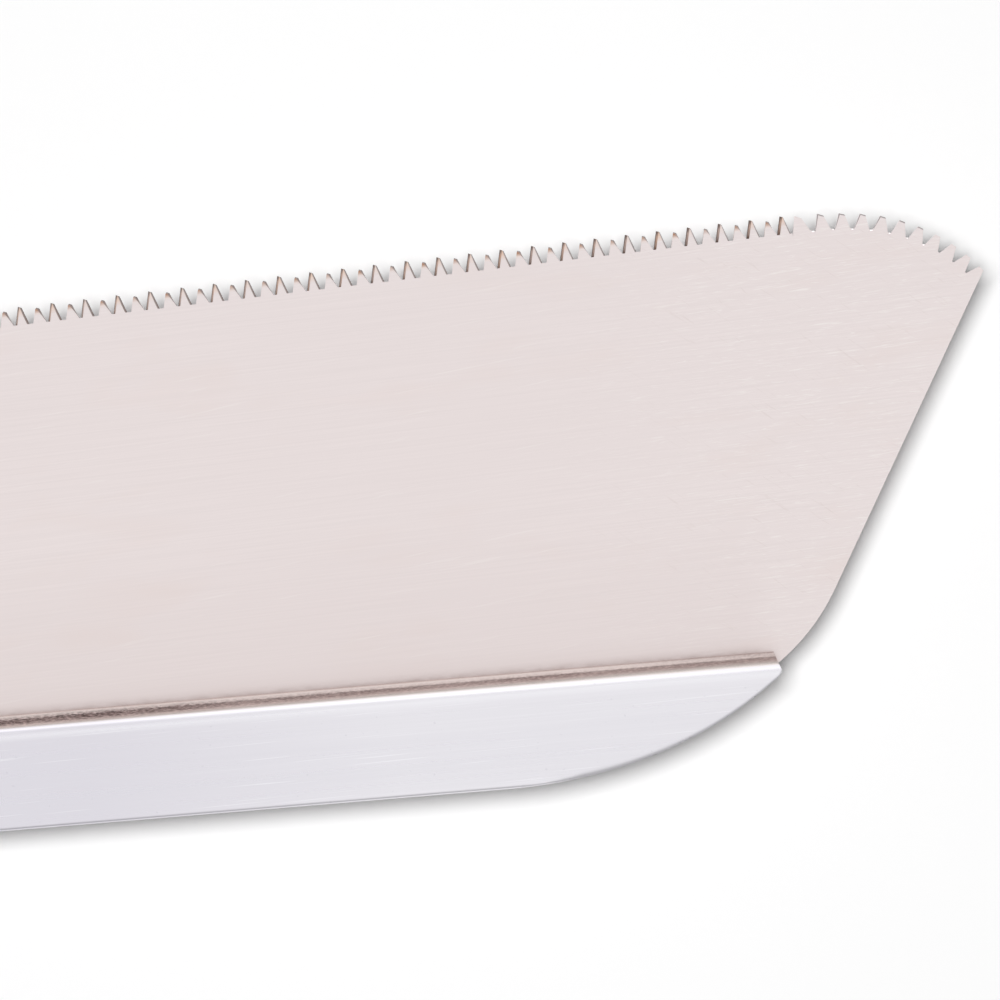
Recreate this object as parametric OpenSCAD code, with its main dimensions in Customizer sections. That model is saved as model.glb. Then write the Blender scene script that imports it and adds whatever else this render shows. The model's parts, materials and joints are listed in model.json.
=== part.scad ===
// Folding dozuki saw, lying on its right side with the blade open.
// X runs to the toe of the blade, Y to the teeth, Z up through the thickness.
// Shapes are drawn round the pivot, at mid thickness, and placed() moves them to the saw's own frame.

/* [Plate] */
// Thickness of the saw plate
plate_t = 0.5; // [0.4:0.05:0.6]
// Distance from the pivot to the nose of the spine
spine_reach = 238; // [220:1:250]
// Distance from the pivot line down to the shoulder of the spine
spine_drop = 16.3; // [16:0.1:16.6]
// Height of the tooth line over the shoulder, at the last set tooth
blade_depth = 38.1; // [37.7:0.1:38.5]
// Angle between the tooth line and the spine
tooth_slope = 2; // [1.8:0.1:2.2]
// Radius of the toothed nose
nose_r = 15.2; // [15:0.1:15.4]
// Angle between the front edge and the spine
front_angle = 60.2; // [59.8:0.1:60.6]
// Length of the straight stretch of the front edge
front_straight = 28.7; // [28:0.1:29.4]
// Radius of the curve between the front edge and the spine
front_r = 18.3; // [17.7:0.1:18.9]

/* [Teeth] */
// Set teeth in 30 mm of the tooth line, on average near the toe
teeth_in_30 = 22; // [18:1:24]
// Height of the tall teeth
tooth_h = 1.5; // [1.3:0.05:1.5]
// How much lower every second tooth is
tooth_drop = 0.25; // [0:0.05:0.4]
// Distance from the pivot to the heel of the tooth line
heel_x = 18; // [17:0.5:20]
// Height of the unset teeth round the nose
nose_tooth_h = 1.2; // [1:0.05:1.3]

/* [Spine] */
// Thickness of the spine
spine_t = 4; // [3.4:0.1:4.2]
// Height of the spine below its shoulder
spine_h = 8.54; // [8.3:0.02:8.8]
// Width of the sloped lip above the shoulder
lip_w = 0.95; // [0.8:0.05:1.1]
// Thickness of the lip at its edge, on each side of the plate
lip_t = 0.3; // [0.2:0.05:0.5]
// Rounding of the back edge
back_r = 1; // [0.6:0.1:1.4]

/* [Tang] */
// Thickness of each tang cheek
cheek_t = 1.5; // [1.3:0.1:1.6]
// Radius of the tang round the pivot
tang_r = 16; // [15.8:0.1:16]
// Radius of the pivot bolt's shank
pivot_r = 4; // [3.6:0.1:4]
// Radial clearance of the pivot and lever bores
running_gap = 0.05; // [0.03:0.01:0.08]
// Angle that the blade folds through
fold_angle = 178; // [176:1:178]

/* [Handle] */
// Gap between the two liners
slot_w = 4.6; // [4.6:0.1:5]
// Thickness of each liner
liner_t = 1.5; // [1.2:0.1:2]
// Thickness of each grip and bolster
grip_t = 7; // [6.6:0.1:8]
// Rounding of the grips
grip_r = 5.5; // [4.5:0.1:5.8]
// Length of handle behind the folded toe
butt_room = 22; // [22:0.5:26]
// Height of the finger edge above the pivot line
finger_y = 11.5; // [10.5:0.1:12]
// Depth of the palm swell below the pivot line
palm_y = 26.8; // [26:0.1:27.5]
// Inner radius of the hang hole
hang_r = 3.5; // [3:0.1:3.5]

/* [Lock] */
// Angle that the lock lever swings through
lever_angle = 8.5; // [8:0.5:8.5]
// Thickness of the lock lever
lever_t = 4; // [3.6:0.1:4.2]
// Width of the thumb pad
pad_w = 12; // [8:0.5:14]
// Thickness of the leaf spring
leaf_t = 0.7; // [0.5:0.05:0.8]

/* [Hidden] */
$fn = 64;

// Colours
steel = [0.86, 0.83, 0.82];
alloy = [0.89, 0.88, 0.91];
dark_alloy = [0.33, 0.34, 0.36];
bright_steel = [0.75, 0.76, 0.78];
bronze = [0.66, 0.5, 0.3];
black_rubber = [0.1, 0.1, 0.1];
grey_nylon = [0.22, 0.22, 0.23];
red_rubber = [0.62, 0.09, 0.07];

// Turn of each step of a rounded corner, and steps of a curve and of a rounded edge
corner_step = 7.5;
curve_steps = 8;
edge_steps = 5;
// Room past a face, for cuts
past = 1;

// Plate and teeth
nose = [spine_reach, -spine_drop];
pitch = 30 / teeth_in_30;
graded_teeth = 48;
toe_pitch = 0.968 * pitch;
pitch_growth = 0.00067 * pitch;
heel_pitch = toe_pitch + 2 * pitch_growth * graded_teeth;
face_lean = 14;
back_lean = 24.5;
short_lean = 31.5;
top_w = 0.3;
top_fall = 34;
last_tip = nose + [3.1, blade_depth];
set_teeth = graded_teeth + floor((last_tip.x - heel_x - tooth_at(graded_teeth)) / heel_pitch);
nose_teeth = 11;
nose_fall = 0.35;
nose_c = last_tip + [5.05, -nose_fall - nose_r];
nose_first = 102.9;
nose_step = 6.95;
nose_step_loss = 0.137;
nose_lifted = 3;
nose_top_half = 0.9;
nose_foot_half = 2.6;
first_foot_half = 3.6;
front_foot_half = 2.95;
nose_last = nose_angle(nose_teeth - 1);
front_start = nose_c + polar(nose_r - nose_tooth_h, nose_last - front_foot_half);
front_bend = front_start - polar(front_straight, front_angle);
front_turn = 27;
plate_depth = 6.1;
toe_x = nose_c.x + nose_r * cos(nose_last - nose_top_half);

// Spine
spine_heel = 24.5;
spine_curve = [[0, -0.6], [-9.8, -spine_h], [-24.5, -spine_h]];
lip_end = -0.5;
shoulder_break = 0.15;
spine_rivet_spots = [[34, -19.8], [62, -19.8]];
spine_rivet_r = 1.5;

// Tang
tang_z = plate_t / 2 + cheek_t;
tang_foot = -14.9;
tang_top_angle = 60;
tang_hole_r = 5.5;
tang_rivet_spots = [[26, 3], [41, 2], [26, -9], [42, -9]];
tang_rivet_r = 2;
stop_pin_r = 2;
stop_ring_r = 9.5;
stop_angle = 240;
stop_gap = 0.15;
stop_spare = 0.4;

// Lock
lever_pivot = [-20.5, -18.6];
lever_pin_r = 2;
lock_gap = 0.18;
lock_spare = 0.2;
lock_tip = -tang_r - 0.35;
lock_foot = -19.8;
lever_back = -23.4;
lever_front = 4.8;
boss_top = -14.7;
tail_end = -54;
tail_back = -22.2;
leaf_x = [-71.5, -42];
leaf_y = -17.8;
leaf_w = 3.6;
touch_gap = 0.05;
pad_x = [-55, -31];
pad_t = 3;
pad_ribs = 7;
pad_rib_r = 0.6;

// Handle
liner_z = slot_w / 2;
grip_z = liner_z + liner_t;
outer_z = grip_z + grip_t;
butt_x = -toe_x - butt_room;
head_x = 20.5;
head_top = 20;
head_back = -24.6;
scoop_back = -21.9;
butt_rise = 8;
palm_rise = 5.3;
seam_middle = -29.5;
seam_lean = 8;
seam_top = 14.4;
seam_gap = 0.8;
bolster_inset = 0.6;
bolster_r = 1.6;
grip_inset = 0.6;
slot_floor = -14.9;
slot_front = -60;
slot_rear = butt_x + 17.5;
spacer_inset = 0.8;
eyelet_spot = [butt_x + 9.5, 8.5];
eyelet_wall = 1;
eyelet_flange_r = 5.8;
eyelet_flange_t = 0.8;
eyelet_sink = 0.5;

// Fasteners
loose = 0.1;
screw_spots = [[-82, -18.2], [-150, -19.5], [-220, -18.2], [butt_x + 8.5, -9]];
screw_r = 1.8;
barrel_r = 2.6;
head_r = 3.2;
head_t = 1.8;
head_sink = 1.4;
hex_r = 1.7;
hex_depth = 1.2;
bolt_head_r = 7.5;
bolt_head_t = 3.5;
bolt_sink = 0.5;
bolt_hex_r = 3.6;
bolt_hex_depth = 2.4;
thread_r = 3.4;
spanner_hole_r = 1;
spanner_hole_x = 5.3;
washer_r = 7;
bolster_screw_spots = [[-18, 9], [11, -14.5]];
bolster_screw_r = 1.5;
bolster_screw_head_r = 2.9;

// Middle of the whole saw
low_y = -palm_y + 0.1;
middle = [(toe_x + butt_x) / 2, (last_tip.y + low_y) / 2];

function polar(r, a) = r * [cos(a), sin(a)];
function unit(v) = v / norm(v);
function turned(p, a) = [p.x * cos(a) - p.y * sin(a), p.x * sin(a) + p.y * cos(a)];
function arc(c, r, a0, a1, n) = [for (i = [0 : n]) c + polar(r, a0 + (a1 - a0) * i / n)];

function inner_points(line) = [for (i = [1 : len(line) - 2]) line[i]];

function curve(p, n) = [
  for (i = [0 : n])
    let (t = i / n)
      (1 - t) * (1 - t) * p[0] + 2 * t * (1 - t) * p[1] + t * t * p[2]
];

// Corner p between its neighbours, rounded with radius r
function fillet(before, p, after, r) =
  let (u = unit(before - p), v = unit(after - p))
  let (half = acos(u * v) / 2)
  let (c = p + unit(u + v) * r / sin(half))
  let (start = p + u * r / tan(half) - c)
  let (sweep = -sign(cross(u, v)) * (180 - 2 * half))
  let (n = ceil(abs(sweep) / corner_step))
    [for (i = [0 : n]) c + turned(start, sweep * i / n)];

// Outline through corners given as [x, y, radius]
function rounded(corners) = [
  for (i = [0 : len(corners) - 1])
    let (n = len(corners))
    let (a = corners[(i + n - 1) % n], p = corners[i], b = corners[(i + 1) % n])
      each p[2] > 0 ? fillet([a.x, a.y], [p.x, p.y], [b.x, b.y], p[2]) : [[p.x, p.y]]
];

// Anticlockwise outline drawn in by d, except at its seam, the edge from the last point to the first
function drawn_in(outline, d) = [
  for (i = [0 : len(outline) - 1])
    let (n = len(outline))
    let (u = unit(outline[i] - outline[(i + n - 1) % n]))
    let (v = unit(outline[(i + 1) % n] - outline[i]))
    let (normal = i == 0 ? [v.y, -v.x] : [u.y, -u.x])
    let (along = i == 0 ? u : i == n - 1 ? v : unit([u.y + v.y, -u.x - v.x]))
      outline[i] - along * d / (along * normal)
];

// Index of the outline's first point at its far end from the seam
function far_end(outline) =
  let (away = [for (p = outline) abs(p.x - seam_middle)])
  let (reach = max(away) - touch_gap)
    min([for (i = [0 : len(away) - 1]) if (away[i] > reach) i]);

// Triangles across the outline between its two long edges, from the seam to the far end at point k
function across(outline, k, i, j) =
  let (next_i = i < k ? abs(outline[i + 1].x - seam_middle) : -2 * butt_x)
  let (next_j = j > k + 1 ? abs(outline[j - 1].x - seam_middle) : -2 * butt_x)
    i == k && j == k + 1 ? []
    : next_i <= next_j ? concat([[i, i + 1, j]], across(outline, k, i + 1, j))
    : concat([[i, j - 1, j]], across(outline, k, i, j - 1));

// Slab on an anticlockwise outline, with its upper edge rounded except at the seam
module rounded_slab(outline, z0, z1, r) {
  n = len(outline);
  levels = [
    [z0, 0],
    for (k = [0 : edge_steps])
      let (a = 90 * k / edge_steps)
        [z1 - r + r * sin(a), r * (1 - cos(a))]
  ];
  points = [
    for (level = levels)
      for (p = drawn_in(outline, level[1]))
        [p.x, p.y, level[0]]
  ];
  walls = [
    for (k = [0 : len(levels) - 2])
      for (i = [0 : n - 1])
        let (j = (i + 1) % n, low = k * n, high = (k + 1) * n)
          each [[low + i, high + i, high + j], [low + i, high + j, low + j]]
  ];
  base = across(outline, far_end(outline), 0, n - 1);
  last = (len(levels) - 1) * n;
  roof = [for (t = base) [last + t[2], last + t[1], last + t[0]]];
  polyhedron(points, concat(walls, base, roof));
}

module slab(outline, z0, z1) {
  translate([0, 0, z0]) linear_extrude(z1 - z0) polygon(outline);
}

module rod(spot, r, z0, z1) {
  translate([spot.x, spot.y, z0]) cylinder(r = r, h = z1 - z0);
}

module hex_cut(spot, r, z0, z1) {
  translate([spot.x, spot.y, z0]) cylinder(r = r, h = z1 - z0, $fn = 6);
}

// Children are drawn for the left side; the right side is their mirror image
module on_right() {
  mirror([0, 0, 1]) children();
}

// The saw's own frame: the middle of its box, resting on z = 0
module placed() {
  translate([-middle.x, -middle.y, outer_z]) children();
}

function nose_angle(i) = nose_first - i * nose_step + nose_step_loss * i * (i - 1) / 2;

// One set tooth, from its gullet to the next, measured along the tooth line from the tip of a tall one
function set_tooth(short) =
  let (h = tooth_h - (short ? tooth_drop : 0))
  let (fall = top_w * tan(top_fall))
  let (foot = tooth_h * tan(face_lean))
  let (tip = h * tan(face_lean) - foot)
  let (lean = short ? short_lean : back_lean)
    [
      [-foot, -tooth_h],
      [tip, h - tooth_h],
      [tip + top_w, h - fall - tooth_h],
      [tip + top_w + (h - fall) * tan(lean), -tooth_h]
    ];

// Distance of a tooth from the last tall one: the pitch grows from the toe, then stays
function tooth_at(i) =
  let (n = min(i, graded_teeth))
    n * toe_pitch + pitch_growth * n * n + (i - n) * heel_pitch;

// Set teeth from the heel to the last tall one
function set_line() = [
  for (i = [set_teeth : -1 : 0])
    for (p = set_tooth(i % 2 == 1))
      last_tip + turned(p - [tooth_at(i), 0], tooth_slope)
];

function nose_tooth(i) =
  let (a = nose_angle(i))
  let (high = nose_r + nose_fall * pow(max(0, 1 - i / nose_lifted), 2))
  let (low = high - nose_tooth_h)
    [
      nose_c + polar(low, a + (i == 0 ? first_foot_half : nose_foot_half)),
      nose_c + polar(high, a + nose_top_half),
      nose_c + polar(high, a - nose_top_half),
      nose_c + polar(low, a - (i == nose_teeth - 1 ? front_foot_half : nose_foot_half))
    ];

function nose_line() = [for (i = [0 : nose_teeth - 1]) each nose_tooth(i)];

// Curve from the straight front edge down to where the spine hides the plate
function front_line() =
  let (c = front_bend + polar(front_r, front_angle + 90))
    arc(c, front_r, front_angle - 90, front_angle - 90 - front_turn, curve_steps);

// Edge of the plate inside the spine, from the nose to the heel
function hidden_line() = [
  nose + [-1.4, -1.1],
  nose + [-9.5, -5.2],
  nose + [-13, -plate_depth],
  [spine_heel, nose.y - plate_depth],
  [spine_heel, tang_foot]
];

// Locking tooth of the lever at rest, grown by g
function lock_corners(g) = [
  [2.1 + g, lock_foot],
  [1.3 + g, lock_tip + g],
  [-2.5 - g, lock_tip + g],
  [-3.1 - g, lock_foot]
];

// Notch of the tang, which takes the locking tooth
module lock_notch() {
  translate(lever_pivot) rotate(lever_angle + lock_spare) translate(-lever_pivot)
    polygon(lock_corners(lock_gap));
}

// Curved slot that the stop pin runs in
module stop_slot() {
  a0 = stop_angle - fold_angle - stop_spare;
  a1 = stop_angle + stop_spare;
  half = stop_pin_r + stop_gap;
  polygon(concat(
    arc([0, 0], stop_ring_r + half, a0, a1, 4 * curve_steps),
    inner_points(arc(polar(stop_ring_r, a1), half, a1, a1 + 180, curve_steps)),
    arc([0, 0], stop_ring_r - half, a1, a0, 4 * curve_steps),
    inner_points(arc(polar(stop_ring_r, a0), half, a0 - 180, a0, curve_steps))
  ));
}

module tang_cuts() {
  lock_notch();
  rotate(-fold_angle) lock_notch();
  stop_slot();
}

module tang_bores() {
  rod([0, 0], tang_hole_r, -outer_z, outer_z);
  for (spot = tang_rivet_spots) rod(spot, tang_rivet_r, -outer_z, outer_z);
}

// Round end of the plate, from the spine's heel to the heel of the teeth
function tang_line() = arc([0, 0], tang_r, 360 + asin(tang_foot / tang_r), tang_top_angle, 6 * curve_steps);

module saw_plate() {
  heel = [heel_x - past, set_line()[0].y];
  color(steel) placed() difference() {
    translate([0, 0, -plate_t / 2]) linear_extrude(plate_t) difference() {
      polygon(concat(set_line(), nose_line(), front_line(), hidden_line(), tang_line(), [heel]));
      tang_cuts();
    }
    tang_bores();
    for (spot = spine_rivet_spots) rod(spot, spine_rivet_r, -outer_z, outer_z);
  }
}

// Half of the spine's section, as [height over the shoulder, distance from mid thickness]
function spine_section_half() = concat(
  arc([-spine_h + back_r, spine_t / 2 - back_r], back_r, 180, 90, curve_steps),
  [
    [-shoulder_break, spine_t / 2],
    [shoulder_break / 2, spine_t / 2 - shoulder_break],
    [lip_w, plate_t / 2 + lip_t]
  ]
);

module spine() {
  half = spine_section_half();
  other = [for (i = [len(half) - 1 : -1 : 0]) [half[i].x, -half[i].y]];
  side = concat(
    [[spine_heel, nose.y + lip_w + past], nose + [lip_end, lip_w + past], nose + [lip_end, lip_w]],
    [for (p = curve(spine_curve, 2 * curve_steps)) nose + p],
    [nose + [spine_curve[2].x, -spine_h - past], [spine_heel, nose.y - spine_h - past]]
  );
  channel = concat(front_line(), hidden_line(), [[spine_heel, 0]]);
  color(alloy) placed() difference() {
    intersection() {
      translate([spine_heel, nose.y, 0]) rotate([90, 0, 90])
        linear_extrude(spine_reach) polygon(concat(half, other));
      slab(side, -spine_t, spine_t);
    }
    slab(channel, -plate_t / 2, plate_t / 2);
    for (spot = spine_rivet_spots) rod(spot, spine_rivet_r, -outer_z, outer_z);
  }
}

module spine_rivets() {
  color(alloy) placed()
    for (spot = spine_rivet_spots) rod(spot, spine_rivet_r, -spine_t / 2, spine_t / 2);
}

module tang_cheek() {
  front = rounded([
    [0, tang_foot, 0],
    [46, tang_foot, 5],
    [53, -3, 7],
    [43, 9.5, 8],
    [19, 9.5, 8],
    [0, 15.5, 0]
  ]);
  difference() {
    translate([0, 0, plate_t / 2]) linear_extrude(cheek_t) difference() {
      union() {
        polygon(front);
        circle(tang_r);
      }
      tang_cuts();
    }
    tang_bores();
  }
}

module left_tang_cheek() {
  color(bright_steel) placed() tang_cheek();
}

module right_tang_cheek() {
  color(bright_steel) placed() on_right() tang_cheek();
}

module tang_rivets() {
  color(steel) placed()
    for (spot = tang_rivet_spots) rod(spot, tang_rivet_r, -tang_z, tang_z);
}

module pivot_bush() {
  color(bronze) placed() difference() {
    rod([0, 0], tang_hole_r, -tang_z, tang_z);
    rod([0, 0], pivot_r + running_gap, -outer_z, outer_z);
  }
}

// Corners of the handle's edges, drawn in by d
function head_corners(d) = [[head_x - d, head_back + d, 15], [head_x - d, head_top - d, 16]];
function neck_corners(d) = [[-20, head_top - d, 14]];
function finger_corners(d) = [
  [-44, finger_y - 1.5 - d, 30],
  [-140, finger_y - d, 150],
  [butt_x + 48, finger_y - 2 - d, 40],
  [butt_x + 22, finger_y + butt_rise - d, 12]
];
function butt_corners(d) = [
  [butt_x + d, finger_y + butt_rise - d, 9],
  [butt_x + d, -palm_y + palm_rise + d, 12]
];
function palm_corners(d) = [[butt_x + 48, -palm_y + 3.2 + d, 60], [-140, -palm_y + d, 200]];
function scoop_corners(d) = [[-64, -palm_y + 2.2 + d, 8], [-57, scoop_back + d, 8]];
function chin_corners(d) = [[-27, scoop_back + d, 6], [-22.5, head_back + d, 6]];

// Seam between bolster and grip, from the finger edge to the palm edge
function seam_x(y) = seam_middle - y * tan(seam_lean);
function seam_point(y, gap) = [seam_x(y) - gap, y, 0];

module handle_bores(screw_bore) {
  for (spot = screw_spots) rod(spot, screw_bore + loose, -outer_z, outer_z);
  rod(eyelet_spot, hang_r + eyelet_wall, -outer_z, outer_z);
}

module liner(screw_bore) {
  outline = rounded(concat(
    head_corners(0), neck_corners(0), finger_corners(0), butt_corners(0),
    palm_corners(0), scoop_corners(0), chin_corners(0)
  ));
  difference() {
    slab(outline, liner_z, grip_z);
    handle_bores(screw_bore);
    rod([0, 0], pivot_r, 0, outer_z);
    rod(polar(stop_ring_r, stop_angle), stop_pin_r, 0, outer_z);
    rod(lever_pivot, lever_pin_r, 0, outer_z);
    for (spot = bolster_screw_spots) rod(spot, bolster_screw_r, 0, outer_z);
  }
}

module left_liner() {
  color(bright_steel) placed() liner(screw_r);
}

module right_liner() {
  color(bright_steel) placed() on_right() liner(barrel_r);
}

module bolster(bolt_bore) {
  outline = rounded(concat(
    [seam_point(head_back + bolster_inset, 0)],
    head_corners(bolster_inset), neck_corners(bolster_inset),
    [seam_point(seam_top, 0)]
  ));
  difference() {
    rounded_slab(outline, grip_z, outer_z, bolster_r);
    rod([0, 0], bolt_bore, 0, outer_z);
    rod([0, 0], bolt_head_r + loose, outer_z - bolt_sink - bolt_head_t, outer_z + past);
    for (spot = bolster_screw_spots) bolster_screw(spot, loose, past);
  }
}

module left_bolster() {
  color(dark_alloy) placed() bolster(pivot_r + loose);
}

module right_bolster() {
  color(dark_alloy) placed() on_right() bolster(pivot_r + loose);
}

module grip(screw_bore) {
  outline = rounded(concat(
    [seam_point(seam_top, seam_gap)],
    finger_corners(grip_inset), butt_corners(grip_inset),
    palm_corners(grip_inset), scoop_corners(grip_inset),
    [seam_point(scoop_back + grip_inset, seam_gap)]
  ));
  difference() {
    rounded_slab(outline, grip_z, outer_z, grip_r);
    handle_bores(screw_bore);
    for (spot = screw_spots) rod(spot, head_r + loose, outer_z - head_sink - head_t, outer_z + past);
    rod(eyelet_spot, eyelet_flange_r + loose, outer_z - eyelet_sink - eyelet_flange_t, outer_z + past);
  }
}

module left_grip() {
  color(black_rubber) placed() grip(screw_r);
}

module right_grip() {
  color(black_rubber) placed() on_right() grip(barrel_r);
}

module back_spacer() {
  outline = rounded(concat(
    [[slot_front, slot_floor, 1.5], [slot_rear, slot_floor, 0], [slot_rear, -palm_y + 6.2, 0]],
    palm_corners(spacer_inset), [[slot_front - 6, -palm_y + 3, 6], [slot_front, scoop_back, 1]]
  ));
  color(grey_nylon) placed() difference() {
    slab(outline, -liner_z, liner_z);
    handle_bores(barrel_r);
    translate([leaf_x[0] - touch_gap, leaf_y - touch_gap, -liner_z - past])
      cube([slot_front + past - leaf_x[0], leaf_t + 2 * touch_gap, slot_w + 2 * past]);
  }
}

module butt_spacer() {
  front = slot_rear - touch_gap;
  rear = butt_x + spacer_inset;
  high = finger_y + butt_rise - spacer_inset;
  low = -palm_y + palm_rise + spacer_inset;
  outline = rounded([[front, low, 1], [front, high, 2], [rear, high, 8], [rear, low, 11]]);
  color(grey_nylon) placed() difference() {
    slab(outline, -liner_z, liner_z);
    handle_bores(barrel_r);
  }
}

module hang_eyelet() {
  end = outer_z - eyelet_sink;
  color(bright_steel) placed() difference() {
    union() {
      rod(eyelet_spot, hang_r + eyelet_wall, -end, end);
      rod(eyelet_spot, eyelet_flange_r, end - eyelet_flange_t, end);
      rod(eyelet_spot, eyelet_flange_r, -end, -end + eyelet_flange_t);
    }
    rod(eyelet_spot, hang_r, -outer_z, outer_z);
  }
}

module pivot_bolt() {
  top = outer_z - bolt_sink;
  color(bright_steel) placed() difference() {
    union() {
      rod([0, 0], bolt_head_r, top - bolt_head_t, top);
      rod([0, 0], pivot_r, -grip_z, top - bolt_head_t);
      rod([0, 0], thread_r, -top + bolt_sink, -grip_z);
    }
    hex_cut([0, 0], bolt_hex_r, top - bolt_hex_depth, outer_z);
  }
}

module pivot_nut() {
  top = outer_z - bolt_sink;
  color(bright_steel) placed() on_right() difference() {
    rod([0, 0], bolt_head_r, top - bolt_head_t, top);
    rod([0, 0], thread_r, 0, outer_z);
    for (x = [-spanner_hole_x, spanner_hole_x])
      rod([x, 0], spanner_hole_r, outer_z - bolt_hex_depth, outer_z);
  }
}

module thrust_washer() {
  difference() {
    rod([0, 0], washer_r, tang_z + touch_gap, liner_z);
    rod([0, 0], pivot_r + loose, 0, outer_z);
  }
}

module thrust_washers() {
  color(bronze) placed() {
    thrust_washer();
    on_right() thrust_washer();
  }
}

module stop_pin() {
  color(steel) placed() rod(polar(stop_ring_r, stop_angle), stop_pin_r, -grip_z, grip_z);
}

module lever_pin() {
  color(steel) placed() rod(lever_pivot, lever_pin_r, -grip_z, grip_z);
}

module lock_spring() {
  color(bright_steel) placed()
    translate([leaf_x[0], leaf_y, -leaf_w / 2]) cube([leaf_x[1] - leaf_x[0], leaf_t, leaf_w]);
}

module handle_screws() {
  top = outer_z - head_sink;
  color(bright_steel) placed()
    for (spot = screw_spots)
      difference() {
        union() {
          rod(spot, head_r, top - head_t, top);
          rod(spot, screw_r, -grip_z, top - head_t);
        }
        hex_cut(spot, hex_r, top - hex_depth, outer_z);
      }
}

module handle_nuts() {
  top = outer_z - head_sink;
  color(bright_steel) placed() on_right()
    for (spot = screw_spots)
      difference() {
        union() {
          rod(spot, head_r, top - head_t, top);
          rod(spot, barrel_r, -liner_z, top - head_t);
        }
        rod(spot, screw_r, -outer_z, grip_z);
        hex_cut(spot, hex_r, top - hex_depth, outer_z);
      }
}

// Countersunk screw, grown by g and with its head carried on by extra
module bolster_screw(spot, g, extra) {
  cone = bolster_screw_head_r - bolster_screw_r;
  rod(spot, bolster_screw_r + g, liner_z, outer_z - bolt_sink - cone);
  translate([spot.x, spot.y, outer_z - bolt_sink - cone])
    cylinder(r1 = bolster_screw_r + g, r2 = bolster_screw_head_r + g, h = cone);
  rod(spot, bolster_screw_head_r + g, outer_z - bolt_sink, outer_z - bolt_sink + extra);
}

module bolster_screw_pair() {
  for (spot = bolster_screw_spots)
    difference() {
      bolster_screw(spot, 0, touch_gap);
      hex_cut(spot, hex_r, outer_z - bolt_sink - hex_depth, outer_z);
    }
}

module bolster_screws() {
  color(bright_steel) placed() {
    bolster_screw_pair();
    on_right() bolster_screw_pair();
  }
}

module lock_lever() {
  tooth = lock_corners(0);
  tail_top = leaf_y - touch_gap;
  outline = rounded([
    [lever_front, lever_back, 1.5],
    [lever_front, lock_foot, 1],
    for (corner = tooth) [corner.x, corner.y, 0.3],
    [-14, lock_foot, 2],
    [-18, boss_top, 3],
    [-24, boss_top, 3],
    [-30, tail_top, 3],
    [tail_end, tail_top, 1],
    [tail_end, tail_back, 1],
    [-28, tail_back, 3],
    [-24, lever_back, 3]
  ]);
  color(dark_alloy) placed() difference() {
    slab(outline, -lever_t / 2, lever_t / 2);
    rod(lever_pivot, lever_pin_r + running_gap, -outer_z, outer_z);
  }
}

module thumb_pad() {
  low = tail_back - pad_t;
  outline = rounded([
    [pad_x[0], tail_back, 0.8],
    [pad_x[0], low, 1.2],
    [pad_x[1], low, 1.8],
    [pad_x[1], tail_back, 0.8]
  ]);
  step = (pad_x[1] - pad_x[0]) / (pad_ribs + 1);
  color(red_rubber) placed() {
    slab(outline, -pad_w / 2, pad_w / 2);
    for (i = [1 : pad_ribs]) rod([pad_x[0] + i * step, low], pad_rib_r, -pad_w / 2, pad_w / 2);
  }
}

saw_plate();
spine();
spine_rivets();
left_tang_cheek();
right_tang_cheek();
tang_rivets();
pivot_bush();
left_liner();
right_liner();
left_bolster();
right_bolster();
left_grip();
right_grip();
back_spacer();
butt_spacer();
hang_eyelet();
pivot_bolt();
pivot_nut();
thrust_washers();
stop_pin();
lever_pin();
lock_spring();
handle_screws();
handle_nuts();
bolster_screws();
lock_lever();
thumb_pad();
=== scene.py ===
import json
import math
import bmesh
import bpy
from mathutils import Matrix, Vector


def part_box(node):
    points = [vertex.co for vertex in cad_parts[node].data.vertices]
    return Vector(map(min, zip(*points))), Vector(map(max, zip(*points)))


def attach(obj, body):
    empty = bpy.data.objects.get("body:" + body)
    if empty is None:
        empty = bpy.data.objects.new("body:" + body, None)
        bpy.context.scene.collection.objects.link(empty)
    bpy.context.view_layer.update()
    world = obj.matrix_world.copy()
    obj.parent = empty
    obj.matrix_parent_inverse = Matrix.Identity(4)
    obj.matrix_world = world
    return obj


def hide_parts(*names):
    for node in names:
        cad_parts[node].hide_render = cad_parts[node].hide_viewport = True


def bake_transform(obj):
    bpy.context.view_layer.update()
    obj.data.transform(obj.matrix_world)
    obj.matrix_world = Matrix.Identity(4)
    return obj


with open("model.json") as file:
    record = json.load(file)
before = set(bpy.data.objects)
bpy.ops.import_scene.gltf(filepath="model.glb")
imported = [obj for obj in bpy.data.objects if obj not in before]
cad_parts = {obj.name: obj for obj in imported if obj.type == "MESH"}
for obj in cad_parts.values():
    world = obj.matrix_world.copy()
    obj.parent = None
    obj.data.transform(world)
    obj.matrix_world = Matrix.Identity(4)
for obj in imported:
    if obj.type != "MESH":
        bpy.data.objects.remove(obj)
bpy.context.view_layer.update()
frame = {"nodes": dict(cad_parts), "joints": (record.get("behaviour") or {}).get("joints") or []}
scene = bpy.context.scene
scene.view_settings.view_transform = "Standard"
mm = 0.001
pivotSpot = Vector(frame["joints"][0]["pos_m"])  # blade pivot, at mid thickness
print("frame loaded:", len(frame["nodes"]), "nodes")


def fromPivot(x, y, z=0.0):
    return pivotSpot + Vector((x, y, z)) * mm


# sRGB hex colour to linear
def linear(hexColour):
    parts = [int(hexColour[i:i + 2], 16) / 255 for i in (1, 3, 5)]
    return tuple(c / 12.92 if c <= 0.04045 else ((c + 0.055) / 1.055) ** 2.4 for c in parts) + (1.0,)


# an input takes a value, a socket, or a node, which gives its first output in use
def setInputs(tree, node, inputs):
    for key, value in inputs.items():
        named = [s for s in node.inputs if s.enabled and s.name == key]
        socket = named[0] if named else node.inputs[key]
        if isinstance(value, bpy.types.Node):
            value = next(o for o in value.outputs if o.enabled)
        if isinstance(value, bpy.types.NodeSocket):
            tree.links.new(value, socket)
        else:
            socket.default_value = value


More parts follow.
